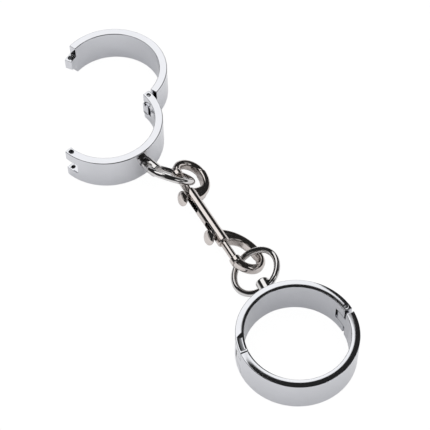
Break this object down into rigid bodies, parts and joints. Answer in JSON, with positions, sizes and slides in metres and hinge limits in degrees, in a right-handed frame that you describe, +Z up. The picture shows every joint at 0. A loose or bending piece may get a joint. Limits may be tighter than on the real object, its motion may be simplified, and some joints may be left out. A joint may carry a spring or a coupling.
{
  "type": "handcuffs",
  "caption": "Rigid handcuffs: round hinged band cuffs with sunk locking screws, swivelling ring posts and loose rings, joined by a double-ended bolt snap.",
  "frame": {"origin": "on the table, at the middle of the closed cuff's wrist bore", "axes": "+Z up along that bore, +Y along the closed cuff's ring post towards the other cuff, +X towards the closed cuff's hinge side"},
  "size_m": [0.1058, 0.2948, 0.0272],
  "materials": {
    "cuff_chrome": "mirror-polished steel",
    "ring_steel": "polished round steel wire",
    "snap_nickel": "bright nickel plate on a zinc casting",
    "spring_steel": "plain drawn and turned steel"
  },
  "bodies": {
    "cuff_a": {"cuff_a_fork_half": "cuff_chrome", "cuff_a_hinge_pin": "spring_steel"},
    "cuff_a_gate": {"cuff_a_tongue_half": "cuff_chrome"},
    "cuff_a_screw": {"cuff_a_lock_screw": "spring_steel"},
    "post_a": {"cuff_a_ring_post": "cuff_chrome"},
    "ring_a": {"cuff_a_ring": "ring_steel"},
    "snap": {"snap_body": "snap_nickel", "snap_spring_a": "spring_steel", "snap_spring_b": "spring_steel"},
    "bolt_a": {"snap_bolt_a": "snap_nickel", "snap_knob_a": "snap_nickel"},
    "bolt_b": {"snap_bolt_b": "snap_nickel", "snap_knob_b": "snap_nickel"},
    "ring_b": {"cuff_b_ring": "ring_steel"},
    "post_b": {"cuff_b_ring_post": "cuff_chrome"},
    "cuff_b": {"cuff_b_fork_half": "cuff_chrome", "cuff_b_hinge_pin": "spring_steel"},
    "cuff_b_gate": {"cuff_b_tongue_half": "cuff_chrome"},
    "cuff_b_screw": {"cuff_b_lock_screw": "spring_steel"}
  },
  "joints": [
    {"name": "cuff_a_hinge", "type": "hinge", "parent": "cuff_a", "child": "cuff_a_gate", "pos_m": [0.03229, 0.00374, 0.011], "axis": [0, 0, 1], "range_deg": [0, 110]},
    {"name": "cuff_a_lock", "type": "slide", "parent": "cuff_a", "child": "cuff_a_screw", "axis": [0, 0, 1], "range_m": [0, 0.004]},
    {"name": "post_a_swivel", "type": "hinge", "parent": "cuff_a", "child": "post_a", "pos_m": [0, 0.035, 0.011], "axis": [0, 1, 0], "continuous": true},
    {"name": "ring_a_swing", "type": "hinge", "parent": "post_a", "child": "ring_a", "pos_m": [0, 0.0406, 0.011], "axis": [0.8763, 0, 0.4818], "range_deg": [-70, 70]},
    {"name": "snap_swing", "type": "hinge", "parent": "ring_a", "child": "snap", "pos_m": [0.00024, 0.06557, 0.00759], "axis": [0.4559, 0.0335, 0.8894], "range_deg": [-60, 50]},
    {"name": "bolt_a_slide", "type": "slide", "parent": "snap", "child": "bolt_a", "axis": [-0.0732, 0.9973, 0], "range_m": [0, 0.01], "stiffness_N_per_m": 250, "springref_m": -0.006, "deforming": ["snap_spring_a"]},
    {"name": "bolt_b_slide", "type": "slide", "parent": "snap", "child": "bolt_b", "axis": [0.0732, -0.9973, 0], "range_m": [0, 0.01], "stiffness_N_per_m": 250, "springref_m": -0.006, "deforming": ["snap_spring_b"]},
    {"name": "ring_b_swing", "type": "hinge", "parent": "snap", "child": "ring_b", "pos_m": [-0.00498, 0.13658, 0.00759], "axis": [-0.887, -0.0651, 0.4571], "range_deg": [0, 70]},
    {"name": "post_b_swing", "type": "hinge", "parent": "ring_b", "child": "post_b", "pos_m": [-0.02453, 0.14924, 0.011], "axis": [0.6661, 0.2372, -0.7071], "range_deg": [-45, 60]},
    {"name": "post_b_swivel", "type": "hinge", "parent": "post_b", "child": "cuff_b", "pos_m": [-0.02641, 0.15451, 0.011], "axis": [0.3355, -0.9421, 0], "continuous": true},
    {"name": "cuff_b_hinge", "type": "hinge", "parent": "cuff_b", "child": "cuff_b_gate", "pos_m": [-0.00648, 0.1948, 0.011], "axis": [0, 0, 1], "range_deg": [-29.4, 80.6]},
    {"name": "cuff_b_lock", "type": "slide", "parent": "cuff_b", "child": "cuff_b_screw", "axis": [0, 0, -1], "range_m": [0, 0.004]}
  ]
}
